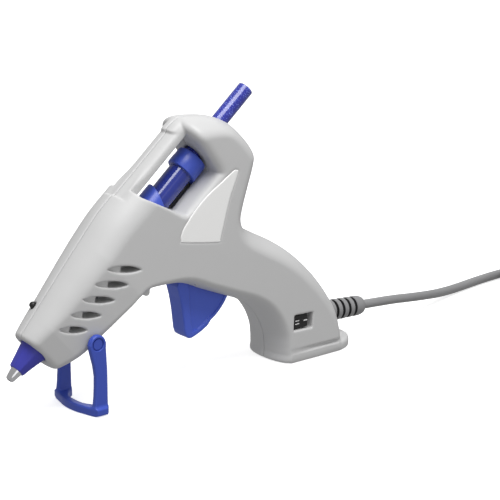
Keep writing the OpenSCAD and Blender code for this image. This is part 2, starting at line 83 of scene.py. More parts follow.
def smax(a, b, k):
    """The larger of two fields, with the edge between them rounded over about k."""
    h = np.clip(1 - np.abs(a - b) / k, 0, None)
    return np.maximum(a, b) + h * h * k / 4


def smin(a, b, k):
    """The smaller of two fields, with the corner between them filled over about k."""
    return -smax(-a, -b, k)


def closed_curve(points, n=5):
    """A smooth closed curve through the points, n steps to each."""
    p = np.array(points, float)
    a, b, c, d = np.roll(p, 1, 0), p, np.roll(p, -1, 0), np.roll(p, -2, 0)
    out = []
    for t in np.arange(n) / n:
        out.append(0.5 * (2 * b + (c - a) * t + (2 * a - 5 * b + 4 * c - d) * t**2
                          + (3 * b - a - 3 * c + d) * t**3))
    return np.stack(out, 1).reshape(-1, 2)


def outline(points, x, z):
    """Signed distance from a closed outline, negative inside."""
    p = np.asarray(points, float)
    best = np.full(np.broadcast(x, z).shape, 1e9, np.float32)
    inside = np.zeros(best.shape, bool)
    for a, b in zip(p, np.roll(p, -1, 0)):
        e = b - a
        dx, dz = x - a[0], z - a[1]
        h = np.clip((dx * e[0] + dz * e[1]) / max(e @ e, 1e-9), 0, 1)
        best = np.minimum(best, (dx - h * e[0]) ** 2 + (dz - h * e[1]) ** 2)
        if e[1]:
            inside ^= ((a[1] <= z) != (b[1] <= z)) & (x < a[0] + dz * e[0] / e[1])
    return np.sqrt(best) * np.where(inside, -1, 1)


def rod(u, v, r):
    """A round bar, from the two distances square to its axis."""
    return np.sqrt(u * u + v * v) - r


def grid(lo, hi, step):
    """Sample places from lo to hi, as three arrays that broadcast."""
    return np.meshgrid(*[np.arange(a, b + step, step, dtype=np.float32) for a, b in zip(lo, hi)],
                       indexing="ij", sparse=True)


def skin(name, field, lo, step):
    """The closed mesh where field is zero: a vertex in each crossed cell, a quad round each crossed edge."""
    inside = field < 0
    part = tuple(n - 1 for n in field.shape)
    corners = list(product((0, 1), repeat=3))
    count = sum(inside[tuple(slice(o, o + n) for o, n in zip(c, part))].astype(np.int8)
                for c in corners)
    cells = (count > 0) & (count < 8)
    at = np.argwhere(cells)
    ids = np.full(part, -1, np.int32)
    ids[cells] = np.arange(len(at))
    value = {c: field[tuple((at + c).T)] for c in corners}
    total, hits = np.zeros((len(at), 3)), np.zeros(len(at))
    for axis in range(3):
        for c in (c for c in corners if c[axis] == 0):
            f0, f1 = value[c], value[tuple(1 if i == axis else k for i, k in enumerate(c))]
            cross = (f0 < 0) != (f1 < 0)
            p = np.tile(np.array(c, float), (len(at), 1))
            p[:, axis] = np.where(cross, f0 / np.where(cross, f0 - f1, 1), 0)
            total += p * cross[:, None]
            hits += cross
    u = total / hits[:, None]
    for _ in range(2):  # draw each vertex onto the true surface
        f, g = np.zeros(len(at)), np.zeros((len(at), 3))
        for c in corners:
            w = [u[:, i] if c[i] else 1 - u[:, i] for i in range(3)]
            f += value[c] * w[0] * w[1] * w[2]
            for i in range(3):
                g[:, i] += value[c] * (1 if c[i] else -1) * w[(i + 1) % 3] * w[(i + 2) % 3]
        u = np.clip(u - (f / np.maximum((g * g).sum(1), 1e-6))[:, None] * g, 0, 1)
    co = (np.array(lo) + step * (at + u)) * MM
    quads = []
    for axis in range(3):
        a, b = np.eye(3, dtype=int)[(axis + 1) % 3], np.eye(3, dtype=int)[(axis + 2) % 3]
        first = np.moveaxis(inside, axis, 0)
        change = np.argwhere(np.moveaxis(first[:-1] != first[1:], 0, axis))
        change = change[((change >= a + b) & (change < np.array(part))).all(1)]
        ring = [ids[tuple((change - o).T)] for o in (0 * a, a, a + b, b)]
        face = np.stack(ring, 1)
        lower = inside[tuple(change.T)]
        quads.append(np.where(lower[:, None], face, face[:, ::-1]))
    return mesh_object(name, co, np.concatenate(quads))


def mesh_object(name, co, quads):
    """A mesh object from corners in metres and quads, all smooth."""
    mesh = bpy.data.meshes.new(name)
    mesh.vertices.add(len(co))
    mesh.vertices.foreach_set("co", np.asarray(co, np.float32).ravel())
    mesh.loops.add(quads.size)
    mesh.loops.foreach_set("vertex_index", quads.astype(np.int32).ravel())
    mesh.polygons.add(len(quads))
    mesh.polygons.foreach_set("loop_start", np.arange(0, quads.size, 4, dtype=np.int32))
    mesh.polygons.foreach_set("use_smooth", np.ones(len(quads), bool))
    mesh.update(calc_edges=True)
    mesh.validate()
    o = bpy.data.objects.new(name, mesh)
    bpy.context.scene.collection.objects.link(o)
    return o


# ---- meshes with an axis ----


def barrel_frame(s=0.0, t=0.0, y=0.0):
    """Axes for a turned part on the barrel: its own Z runs along s."""
    x, z = bp(s, t)
    along = Vector((math.cos(BARREL), 0, math.sin(BARREL)))
    up = Vector((-math.sin(BARREL), 0, math.cos(BARREL)))
    m = Matrix((up, Vector((0, 1, 0)), along)).transposed().to_4x4()
    m.translation = Vector((x, y, z)) * MM
    return m


def axis_frame(point, direction):
    """Axes for a turned part at a point: its own Z runs along the direction."""
    m = Vector(direction).to_track_quat("Z", "Y").to_matrix().to_4x4()
    m.translation = Vector(point) * MM
    return m


def lathe(name, profile, axes, segments=96, warp=None, sharp=35):
    """Turns a profile of (distance along the axis, radius), closed on itself, round the Z of its axes."""
    n = len(profile)
    co, quads = [], []
    for k in range(segments):
        a = 2 * math.pi * k / segments
        for h, r in profile:
            if warp:
                h, r = warp(h, r, a)
            co.append(axes @ Vector((r * math.cos(a) * MM, r * math.sin(a) * MM, h * MM)))
    for k in range(segments):
        for i in range(n):
            j, m = (i + 1) % n, (k + 1) % segments
            quads.append((k * n + i, k * n + j, m * n + j, m * n + i))
    o = mesh_object(name, np.array([tuple(c) for c in co]), np.array(quads)[:, ::-1])
    o.data.set_sharp_from_angle(angle=math.radians(sharp))
    return o


def bevelled(h0, h1, r, edge=0.4, bore=0.01):
    """Profile of a plain turned length with small rounded edges."""
    def rim(h, sign):
        return [(h + sign * edge * (1 - math.cos(a)), r - edge * (1 - math.sin(a)))
                for a in np.radians([0, 30, 60, 90])]
    return [(h0, bore), *rim(h0, 1), *reversed(rim(h1, -1)), (h1, bore)]


# ---- materials ----


def material(name, colour, roughness, metallic=0.0, coat=0.0, grain=0.0, grain_size=0.25,
             mottle=0.03, mottle_size=9.0, specular=0.5):
    """A moulded or metal finish: slow colour variation, roughness variation and a fine grain."""
    m = bpy.data.materials.new(name)
    m.use_nodes = True
    tree = m.node_tree
    shader = tree.nodes["Principled BSDF"]
    shader.inputs["Metallic"].default_value = metallic
    shader.inputs["Coat Weight"].default_value = coat
    shader.inputs["Coat Roughness"].default_value = 0.12
    shader.inputs["Specular IOR Level"].default_value = specular
    coords = tree.nodes.new("ShaderNodeTexCoord")

    def noise(size, detail):
        n = tree.nodes.new("ShaderNodeTexNoise")
        n.inputs["Scale"].default_value = 1 / (size * MM)
        n.inputs["Detail"].default_value = detail
        tree.links.new(coords.outputs["Object"], n.inputs["Vector"])
        return n

    slow, fine = noise(mottle_size, 3), noise(grain_size, 2)
    ramp = tree.nodes.new("ShaderNodeValToRGB")
    for stop, share in zip(ramp.color_ramp.elements, (1 - mottle, 1 + mottle)):
        stop.color = (*[min(1.0, c * share) for c in colour], 1)
    tree.links.new(slow.outputs["Fac"], ramp.inputs["Fac"])
    tree.links.new(ramp.outputs["Color"], shader.inputs["Base Color"])
    spread = tree.nodes.new("ShaderNodeMapRange")
    spread.inputs["To Min"].default_value = roughness * 0.88
    spread.inputs["To Max"].default_value = min(1, roughness * 1.12)
    tree.links.new(slow.outputs["Fac"], spread.inputs["Value"])
    tree.links.new(spread.outputs["Result"], shader.inputs["Roughness"])
    if grain:
        bump = tree.nodes.new("ShaderNodeBump")
        bump.inputs["Strength"].default_value = grain
        bump.inputs["Distance"].default_value = 0.05 * MM
        tree.links.new(fine.outputs["Fac"], bump.inputs["Height"])
        tree.links.new(bump.outputs["Normal"], shader.inputs["Normal"])
    return m


def glitter(m, flake=0.28, share=0.84, bright=(0.2, 0.27, 0.8)):
    """Adds flakes: the small cells whose chance value is above share turn bright."""
    tree = m.node_tree
    shader = tree.nodes["Principled BSDF"]
    base = shader.inputs["Base Color"].links[0].from_socket
    cells = tree.nodes.new("ShaderNodeTexVoronoi")
    cells.inputs["Scale"].default_value = 1 / (flake * MM)
    coords = next(n for n in tree.nodes if n.type == "TEX_COORD")
    tree.links.new(coords.outputs["Object"], cells.inputs["Vector"])
    value = tree.nodes.new("ShaderNodeSeparateColor")
    tree.links.new(cells.outputs["Color"], value.inputs["Color"])
    ramp = tree.nodes.new("ShaderNodeValToRGB")
    ramp.color_ramp.elements[0].position = share
    ramp.color_ramp.elements[1].position = min(1, share + 0.12)
    tree.links.new(value.outputs["Red"], ramp.inputs["Fac"])
    mix = tree.nodes.new("ShaderNodeMix")
    mix.data_type = "RGBA"
    mix.inputs["B"].default_value = (*bright, 1)
    tree.links.new(ramp.outputs["Color"], mix.inputs["Factor"])
    tree.links.new(base, mix.inputs["A"])
    tree.links.new(mix.outputs["Result"], shader.inputs["Base Color"])
    return m


grey = material("moulded_grey", (0.60, 0.60, 0.60), 0.46, grain=0.12, mottle=0.012)
# Black painted into the deep part of the louvres: painted shade, not a real opening.
vent_painted_shade = material("vent_painted_shade", (0.02, 0.02, 0.02), 0.6)
blue = material("moulded_blue", (0.048, 0.09, 0.50), 0.34, grain=0.08, mottle=0.03)
# Lighter copy of the moulded blue for the trigger: painted light, brighter than the stand's blue.
trigger_blue_painted_light = material("trigger_blue_painted_light", (0.075, 0.135, 0.68), 0.3, grain=0.06, mottle=0.03)
# Darker copy of the feed's blue for the neck: painted dark reflection and shade.
neck_painted_reflection = material("glossy_blue_painted_reflection", (0.02, 0.035, 0.27), 0.16, coat=0.5, mottle=0.04)
soft_blue = material("soft_blue", (0.045, 0.048, 0.40), 0.42, grain=0.1, mottle=0.04)
label = material("label_film", (0.97, 0.97, 0.96), 0.35, grain=0.05, mottle=0.01)
black = material("satin_black", (0.012, 0.012, 0.012), 0.4, grain=0.1, mottle=0.2)
white_print = material("white_print", (0.8, 0.8, 0.8), 0.5)
vinyl = material("grey_vinyl", (0.27, 0.27, 0.275), 0.32, grain=0.08, mottle=0.08, coat=0.15)
# Near-black for the groove floors of the strain relief: painted shade.
groove_painted_shade = material("groove_vinyl_painted_shade", (0.02, 0.02, 0.021), 0.6, mottle=0.1)
polished = material("polished_steel", (0.8, 0.8, 0.82), 0.14, metallic=1.0, mottle=0.05)
steel = material("zinc_steel", (0.55, 0.56, 0.58), 0.32, metallic=1.0, grain=0.1, mottle=0.08)
cast = material("cast_aluminium", (0.72, 0.73, 0.75), 0.45, metallic=1.0, grain=0.3)
ceramic = material("ceramic", (0.86, 0.83, 0.76), 0.5, grain=0.2)
film = material("insulating_film", (0.7, 0.5, 0.25), 0.3, mottle=0.1)
silicone = material("red_silicone", (0.5, 0.08, 0.05), 0.5, grain=0.1)
brass = material("nickel_brass", (0.72, 0.66, 0.5), 0.2, metallic=1.0, mottle=0.08)
rubber = material("black_rubber", (0.03, 0.03, 0.03), 0.7, grain=0.3)
glue = glitter(material("glitter_glue", (0.028, 0.035, 0.32), 0.2, coat=0.4, mottle=0.1))


def paint(o, *finishes):
    """Gives an object these finishes and no others."""
    o.data.materials.clear()
    for m in finishes:
        o.data.materials.append(m)
    return o


def place(o, body, replaced=(), finishes=()):
    """Puts a finished piece on its body, with its finish and the CAD nodes that it stands for."""
    if finishes:
        paint(o, *finishes)
    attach(o, body)
    if replaced:
        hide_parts(*replaced)
    return o


# ---- camera, light and floor ----

VIEW_AZIMUTH = math.radians(38.5)
VIEW_ELEVATION = math.radians(16.3)
VIEW_DISTANCE = 900.0
VIEW_TARGET = Vector((29.0, 0.0, 51.3))
VIEW_LENS = 148.8
VIEW_SENSOR = 36.0
AMBIENT = 0.38
# Soft lights: name, place, side of the square and watts.
LIGHTS = [("key", (-100, -300, 1000), 650, 9.8), ("fill", (-300, -1000, 250), 700, 1.1),
          ("back", (500, 700, 600), 600, 1.0)]
FLOOR_HALF = 3000.0
FLOOR_GAP = 0.2
FLOOR_GLOW = 0.68


def camera():
    """The main view, aimed at the target."""
    toward = Vector((math.sin(VIEW_AZIMUTH) * math.cos(VIEW_ELEVATION),
                     math.cos(VIEW_AZIMUTH) * math.cos(VIEW_ELEVATION), -math.sin(VIEW_ELEVATION)))
    data = bpy.data.cameras.new("camera")
    data.lens = VIEW_LENS
    data.sensor_width = VIEW_SENSOR
    o = bpy.data.objects.new("camera", data)
    o.location = (VIEW_TARGET - toward * VIEW_DISTANCE) * MM
    o.rotation_euler = toward.to_track_quat("-Z", "Y").to_euler()
    bpy.context.scene.collection.objects.link(o)
    bpy.context.scene.camera = o


def area_light(name, at, size, power, target=(0.0, 0.0, 50.0)):
    """A square light, turned to face the target."""
    data = bpy.data.lights.new(name, "AREA")
    data.size = size * MM
    data.energy = power
    o = bpy.data.objects.new(name, data)
    o.location = Vector(at) * MM
    o.rotation_euler = (Vector(target) - Vector(at)).to_track_quat("-Z", "Y").to_euler()
    bpy.context.scene.collection.objects.link(o)


def studio():
    """White surroundings, three soft lights and a pale floor under the object."""
    scene = bpy.context.scene
    scene.view_settings.view_transform = "Standard"
    world = bpy.data.worlds.new("studio")
    world.use_nodes = True
    tree = world.node_tree
    ambient = tree.nodes["Background"]
    ambient.inputs["Color"].default_value = (1, 1, 1, 1)
    ambient.inputs["Strength"].default_value = AMBIENT
    backdrop = tree.nodes.new("ShaderNodeBackground")
    backdrop.inputs["Color"].default_value = (1, 1, 1, 1)
    seen = tree.nodes.new("ShaderNodeLightPath")
    mix = tree.nodes.new("ShaderNodeMixShader")
    tree.links.new(seen.outputs["Is Camera Ray"], mix.inputs["Fac"])
    tree.links.new(ambient.outputs["Background"], mix.inputs[1])
    tree.links.new(backdrop.outputs["Background"], mix.inputs[2])
    tree.links.new(mix.outputs["Shader"], tree.nodes["World Output"].inputs["Surface"])
    scene.world = world
    for light in LIGHTS:
        area_light(*light)
    data = bpy.data.meshes.new("floor")
    r = FLOOR_HALF * MM
    data.from_pydata([(-r, -r, 0), (r, -r, 0), (r, r, 0), (-r, r, 0)], [], [(0, 1, 2, 3)])
    o = bpy.data.objects.new("floor", data)
    o.location.z = -FLOOR_GAP * MM
    o.visible_diffuse = False
    o.visible_glossy = False
    bpy.context.scene.collection.objects.link(o)
    pale = material("pale_floor", (0.8, 0.8, 0.8), 0.9, mottle=0.002, specular=0.1)
    shader = pale.node_tree.nodes["Principled BSDF"]
    shader.inputs["Emission Color"].default_value = (1, 1, 1, 1)
    shader.inputs["Emission Strength"].default_value = FLOOR_GLOW
    paint(o, pale)


# ---- housing ----

# Outline of the body on the joint plane, clockwise from the nozzle: point and depth of its rounding.
BODY = [
    (bp(8, -8), 4), (bp(8, 8), 4), (bp(16.8, 9.9), 5), (bp(24, 11), 7), (bp(34, 12.6), 9),
    (bp(46, 14.5), 10), (bp(60, 16.6), 11), (bp(74, 18.5), 11.5), (bp(90, 18.7), 12),
    (bp(105, 18.7), 12), (bp(119, 18.7), 12), (bp(125, 18.3), 10), (bp(129, 16.6), 8),
    (bp(134, 11.8), 7), (bp(138.4, 6.6), 6.5), (bp(141.4, 1), 6.5), (bp(142.6, -6), 7),
    (bp(142.8, -14), 7.5), ((25, 96.5), 8), ((24, 90.5), 8), ((21.2, 82), 8), ((18.7, 74), 8),
    ((18.0, 69.2), 8), ((20.7, 64.6), 8), ((28, 60.2), 9), ((38, 54.8), 9), ((47, 48.7), 9),
    ((54.6, 42), 9), ((61.4, 34.6), 9), ((67, 26.8), 8), ((71.2, 19.5), 8), ((73.2, 12), 7),
    ((74, 5), 6), ((74.2, -6), 6), ((37.6, -6), 5), ((36.8, 4), 5), ((36.6, 8), 5),
    ((35.8, 13.2), 5), ((32.6, 20.2), 5), ((27.4, 26.6), 5), ((20, 31.4), 5), ((10, 35.5), 5),
    ((-3, 41), 5), ((-15, 46), 5), (bp(66, -20), 4), (bp(60.5, -18.4), 4), (bp(56, -18.4), 4.5),
    (bp(46, -18.2), 5.5), (bp(34, -17.8), 7), (bp(26, -16.8), 6), (bp(17.5, -13.4), 4)]
WIDTH_AT = ((15, 7.6), (17, 8.3), (24, 10), (34, 11.4), (46, 13), (60, HALF_WIDTH))
WINDOW = [bp(*p) for p in [(88.8, 25), (89.2, 13.6), (96.9, -5.6), (98.4, -7.7), (121.4, -7.7),
                           (122, -5.6), (122.3, -3), (123.6, 13.6), (124.4, 25)]]
# Round bores along the barrel for the nozzle, guide tube and glue stick: from s, to s, radius.
BORES = [(13, 22, 6.35), (85, 98, 7.35), (120, 150, 4.3)]
BUMP_AT = bp(63.8, -18.1)
BUMP_R = 1.5
BRIDGE_HALF = 5.9
BRIDGE_UNDER = 12.7
SLOT = [(-16.6, 52), (-16.6, 42), (-5, 34), (12.4, 31), (17, 35), (17.4, 42)]
POCKET = [bp(74.5, -9.3), bp(122.5, -9.3), bp(122.5, -16.8), bp(108, -18), (14, 59), (19, 52),
          (18.4, 42), (16, 36), (12, 36), (-8, 38), (-16.6, 44), bp(76, -24)]
SWITCH = [(42.6, 22.1), (53.2, 21.8), (52.6, 14.6), (42.2, 15)]
LABEL = [(8.7, 92.8), (10.4, 92.9), (11.2, 91.5), (6.7, 81.1), (3.4, 70.0), (2.2, 66.2),
         (1.6, 64.2), (0.2, 63.2), (-17.6, 66.2), (-18.9, 67.3), (-18.8, 69.6), (-16.4, 73.7),
         (-7.5, 82.6), (3, 89.3)]
# Louvres: middle x, z and length.
VENTS = [(-47.5, 60.1, 17.2), (-53.5, 54.7, 16.3), (-59.3, 49.1, 15.3), (-65, 43.5, 14.5),
         (-70.8, 38.1, 13.2)]
VENT_TILT = math.radians(10.5)
VENT_FLOOR = 1.7
VENT_DROP = 7
# Painted shade: louvre faces deeper than this are painted black, and only here on the barrel.
DARK_DEPTH = 2.3
DARK_S = 28
DARK_X = -36
DARK_T = 20
DARK_Y = 3.5
SCREWS = [(-54, 38.5), (11.5, 96.5), (50, 41), (46, 8)]
WELL_R = 2.8
WELL_FLOOR = 6
INDICATOR_S = 29
INDICATOR_Y = 4.2
SWITCH_FLOOR = 9.5
LABEL_DEPTH = 0.35
FOOT = [(41, -14.2), (58, -14.2), *arc(68.2, 0, 14, -77, 77, 20), (58, 14.2), (41, 14.2)]
FOOT_HEIGHT = 4.5
FOOT_GROOVE_Z = 5.3
FOOT_GROOVE_HALF = 0.75
FOOT_GROOVE_DEPTH = 1.3
HOUSING_STEP = 0.5


def rounding(x, z):
    """Depth of the body's rounding at x, z: that of the outline points near it, blended."""
    points = np.array([p for p, _ in BODY])
    depth = np.array([b for _, b in BODY], float)
    far = np.stack([np.sqrt((x - p[0]) ** 2 + (z - p[1]) ** 2) for p in points])
    weight = np.exp(-(far - far.min(0)) / 5.0)
    return np.tensordot(depth, weight, (0, 0)) / weight.sum(0)


def vent_field(x, z, body):
    """Louvre recesses: their floors run in from the front and drop deep at the rear, where housing() paints
    them black as shade.
    """
    found = np.full_like(body, 1e3)
    c, k = math.cos(VENT_TILT), math.sin(VENT_TILT)
    for vx, vz, length in VENTS:
        p, q = (x - vx) * c - (z - vz) * k, (x - vx) * k + (z - vz) * c
        lens = (np.abs(q) - 1.5 * (1 - np.abs(2 * p / length) ** 2.6)) * 0.8
        depth = VENT_FLOOR + VENT_DROP * np.clip(p / length / 0.3 + 0.2, 0, 1)
        found = np.minimum(found, np.maximum(lens, -body - depth))
    return found


def body_field(x, y, z):
    """The moulded body before it is pierced."""
    s, t = barrel_axes(x, z)
    u = -outline(closed_curve([p for p, _ in BODY], 6), x, z)
    b = rounding(x, z)
    w = np.interp(s, *zip(*WIDTH_AT)).astype(np.float32)
    a, c = np.clip(b - u, 0, None) / b, np.abs(y) / w
    r = np.sqrt(a * a + c * c) + 1e-6
    f = (r - 1) * r / np.sqrt((a / b) ** 2 + (c / w) ** 2 + 1e-9)
    step_down = np.maximum(np.maximum(84 - s, s - 119.5), 17.1 - t)
    f = smax(f, -step_down + 0 * y, 0.8)
    f = smax(f, 14.8 - s, 2.0)
    return smax(f, -z, 2.6)


def pierced(x, y, z, side):
    """One half of the housing."""
    s, t = barrel_axes(x, z)
    plain = body_field(x, y, z)
    ay = np.abs(y)
    bump = np.maximum(rod(x - BUMP_AT[0], z - BUMP_AT[1], BUMP_R), ay - 12)
    f = smin(plain, bump, 1.2)
    flange = outline(FOOT, x, y)
    f = smin(f, smax(smax(flange, z - FOOT_HEIGHT, 2.2), -z, 0.9), 0.7)
    groove = np.clip((x - 44) / 16, 0, 1) * FOOT_GROOVE_DEPTH
    f = smax(f, -np.maximum(np.abs(z - FOOT_GROOVE_Z) - FOOT_GROOVE_HALF,
                            HALF_WIDTH - groove - ay + 0 * x), 0.7)
    window = outline(WINDOW, x, z)
    soft = 0.8 + 3.2 * np.clip((s - 92) / 10, 0, 1)
    bridge = np.maximum(ay - BRIDGE_HALF, BRIDGE_UNDER - t)
    f = smax(f, -np.maximum(window, -bridge), soft)
    roof = np.maximum(ay - BRIDGE_HALF, np.maximum(80 - s, s - 128))
    roof = smax(smax(roof, t - 17.6 + 0.05 * y * y, 1.2), BRIDGE_UNDER - t, 0.9)
    f = smin(f, roof, 0.5)
    f = smax(f, -np.maximum(ay - 5.2, outline(SLOT, x, z)), 0.8)
    f = np.maximum(f, -np.maximum(ay - 6.2, outline(POCKET, x, z)))
    f = np.maximum(f, -np.maximum(ay - 2.4, np.maximum(np.maximum(99 - s, s - 121), np.abs(t + 8) - 2)))
    for s0, s1, r in BORES:
        f = smax(f, -np.maximum(rod(t, y, r), np.maximum(s0 - s, s - s1)), 0.5)
    f = smax(f, -np.maximum(rod((x - 72) * 0.07 + z - 14.6, y, 5.0), 66 - x), 0.6)
    if side < 0:
        f = smax(f, -np.maximum(outline(SWITCH, x, z), y + SWITCH_FLOOR), 0.5)
        edge = outline(closed_curve(LABEL, 4), x, z) - 0.15
        f = smax(f, -np.maximum(edge, y + HALF_WIDTH - LABEL_DEPTH), 0.25)
    else:
        for sx, sz in SCREWS:
            f = smax(f, -np.maximum(rod(x - sx, z - sz, WELL_R), WELL_FLOOR - y), 0.5)
        f = smax(f, -np.maximum(rod(s - INDICATOR_S, y - INDICATOR_Y, 1.7), 6 - t), 0.4)
    f = smax(f, -vent_field(x, z, plain), 0.35)
    return smax(f, 0.06 - side * y, 0.45), plain


def housing(side, name, node):
    """One half, skinned, with the deep inside of its louvres painted black as shade."""
    step = HOUSING_STEP
    lo, hi = (-92, -0.5 if side > 0 else -16, -1), (83.5, 16 if side > 0 else 0.5, 119)
    x, y, z = grid(lo, hi, step)
    field, plain = pierced(x, y, z, side)
    o = skin(name, np.broadcast_to(field, (x.size, y.size, z.size)), lo, step)
    centre = np.zeros(len(o.data.polygons) * 3)
    o.data.polygons.foreach_get("center", centre)
    centre = centre.reshape(-1, 3) / MM
    at = np.clip(((centre - lo) / step).round().astype(int), 0, np.array(plain.shape) - 1)
    # Faces deep in a louvre get the black finish: painted shade.
    deep = (plain[tuple(at.T)] < -DARK_DEPTH) & (np.abs(centre[:, 1]) > DARK_Y) & (centre[:, 0] < DARK_X)
    s, t = barrel_axes(centre[:, 0], centre[:, 2])
    deep &= (s > DARK_S) & (np.abs(t) < DARK_T)
    o.data.polygons.foreach_set("material_index", deep.astype(np.int32))
    return place(o, "body", [node], [grey, vent_painted_shade])


def flat_piece(name, points, y0, y1, body, finish, replaced=(), edge=0.12):
    """A thin plate square to Y with rounded edges."""
    p = np.array(points)
    step = 0.3
    lo = (p[:, 0].min() - 1, y0 - 0.6, p[:, 1].min() - 1)
    hi = (p[:, 0].max() + 1, y1 + 0.6, p[:, 1].max() + 1)
    x, y, z = grid(lo, hi, step)
    f = smax(outline(points, x, z), np.maximum(y0 - y, y - y1), edge)
    o = skin(name, f, lo, step)
    return place(o, body, replaced, [finish])


# ---- nozzle and feed ----


def nozzle():
    profile = [(-0.5, 0.8), (-0.6, 1.2), (-0.45, 1.5), (0.1, 1.85), (1.4, 2.1), (4.4, 2.6),
               (12, 3.6), (12.5, 4.6), (17, 4.6), (17, 3), (26, 3), (26, 1.6), (4, 1.5), (2, 0.8)]
    o = lathe("nozzle_tip", profile, barrel_frame(), 96)
    place(o, "body", ["nozzle"], [polished])


COVER_FLATS = 7
COVER_TURN = 0.35
COVER_FADE_END = 15.0
COVER_FADE = 9.0


def cover_shape(h, r, a):
    """Seven flats at the front of the cover that fade into its round base."""
    part = 2 * math.pi / COVER_FLATS
    off = (a + COVER_TURN) % part - part / 2
    flat = math.cos(part / 2) / math.cos(off)
    fade = min(1.0, max(0.0, (COVER_FADE_END - h) / COVER_FADE))
    return h, r * (1 + (flat * 1.06 - 1) * fade) if r > 3 else r


def nozzle_cover():
    profile = [(4.6, 2.6), (4.3, 3.0), (4.5, 3.35), (5.0, 3.55), (8, 4.2), (11, 4.95), (14, 5.7),
               (15.2, 6.0), (15.8, 6.15), (21.5, 6.15), (21.5, 4.8), (12, 4.8), (11.6, 3.7)]
    o = lathe("nozzle_cover_skin", profile, barrel_frame(), 98, cover_shape, 18)
    place(o, "body", ["nozzle_cover"], [soft_blue])


def indicator():
    """A small dark dome in the top of the barrel, off the joint plane."""
    x, z = bp(INDICATOR_S, 7.4)
    up = (-math.sin(BARREL), 0, math.cos(BARREL))
    dome = [(0, 0.01), (0, 1.45), (4.3, 1.45), (4.7, 1.35), (5.1, 1.0), (5.35, 0.5), (5.4, 0.01)]
    o = lathe("indicator_dome", dome, axis_frame((x, INDICATOR_Y, z), up), 40)
    place(o, "body", ["indicator_lamp"], [black])


# The finished tube and neck lie off their CAD axis: this far down across the barrel, and in Y.
FEED_DROP = 0.6
FEED_OFF = -0.8
RIM_START = 90
RIM_FALL = 3.4
RIM_TURN = math.radians(28)
COLLAR_START = 112.9
FEED_STEP = 0.3


def tube_rim(h, r, a):
    """The guide tube's rim falls away from the bridge towards the near side and the floor."""
    if h < RIM_START:
        return h, r
    return h - RIM_FALL * (1 - math.cos(a - RIM_TURN)), r


def feed():
    """The guide tube, the carriage's neck and collar, its arm and lug, and the glue stick."""
    tube = [(84, 6.0), (84, 8.4), (86, 8.4), (86.2, 7.3), (99.6, 7.2), (99.9, 7.1), (100, 6.9),
            (100, 6.1), (99.8, 6.0)]
    o = lathe("guide_tube_skin", tube, barrel_frame(0, -FEED_DROP, FEED_OFF), 96, tube_rim)
    place(o, "body", ["guide_tube"], [blue])
    neck = [(91.5, 4.7), (91.5, 5.3), (112.8, 5.3), (113, 5.5), (113, 6.5), (113.15, 6.75),
            (113.5, 6.85), (120.4, 6.85), (120.8, 6.7), (121, 6.4), (121, 5.0), (115, 5.0),
            (115, 4.7)]
    carriage = lathe("feed_neck", neck, barrel_frame(0, -FEED_DROP, FEED_OFF), 96)
    # The neck takes the darker blue as a painted dark reflection; the collar keeps the plain blue.
    paint(carriage, neck_painted_reflection, blue)
    tip = Vector((TIP[0], 0, TIP[1]))
    along = Vector((math.cos(BARREL), 0, math.sin(BARREL)))
    for p in carriage.data.polygons:
        if (p.center / MM - tip).dot(along) > COLLAR_START:
            p.material_index = 1
    place(carriage, "carriage", ["feed_carriage"])
    step = FEED_STEP
    lo = (bp(84, -15)[0] - 2, -3.0, bp(84, -15)[1] - 6)
    hi = (bp(121, 2)[0] + 12, 9.5, bp(121, 2)[1] + 2)
    x, y, z = grid(lo, hi, step)
    s, t = barrel_axes(x, z)

    def block(s0, s1, y0, y1, t0, t1, k=0.6):
        f = smax(np.maximum(s0 - s, s - s1), np.maximum(t0 - t, t - t1), k)
        return smax(f, np.maximum(y0 - y, y - y1), k)
    f = smin(block(84.5, 120.4, -1.9, 1.9, -15, -11), block(113.6, 120.4, -1.9, 1.9, -13, -6), 0.8)
    f = np.minimum(f, block(114.5, 119.5, 5, 8.4, -1.7, 1.7))
    o = skin("feed_arm", f, lo, step)
    place(o, "carriage", [], [blue])
    o = lathe("glue_stick_skin", bevelled(58, 160, STICK_R, 0.35), barrel_frame(), 72)
    place(o, "carriage", ["glue_stick"], [glue])


# ---- trigger and stand ----

TRIGGER = [(-12.6, 47.5), (-13.6, 43.6), (-12.1, 38), (-11.0, 32), (-10.3, 26), (-9.9, 22.6),
           (-9.2, 20.6), (-7.8, 19.5), (-6.2, 19.4), (-4.2, 20.1), (-1.0, 21.4), (2.2, 23.2),
           *arc(*PIVOT, TRIGGER_R, -60, -6, 20), (-3, 50.5), (-8, 51.1), (-11.2, 50)]
PANEL = [(-7.8, 46), (-7.2, 36), (-6.6, 27), (-6.0, 22.4), (-3.2, 22.9), (0.4, 24.9),
         *arc(*PIVOT, TRIGGER_R - 1.7, -62, -8, 18)]
HUB_ROOM = [(-20, 53), (-12, 44.5), (-7, 41), *arc(*PIVOT, TRIGGER_R - 4, -50, -4, 10), (12, 53)]
SWING_HALF = 10.0
TRIGGER_HALF = 4.8
BAR_T = -13.0


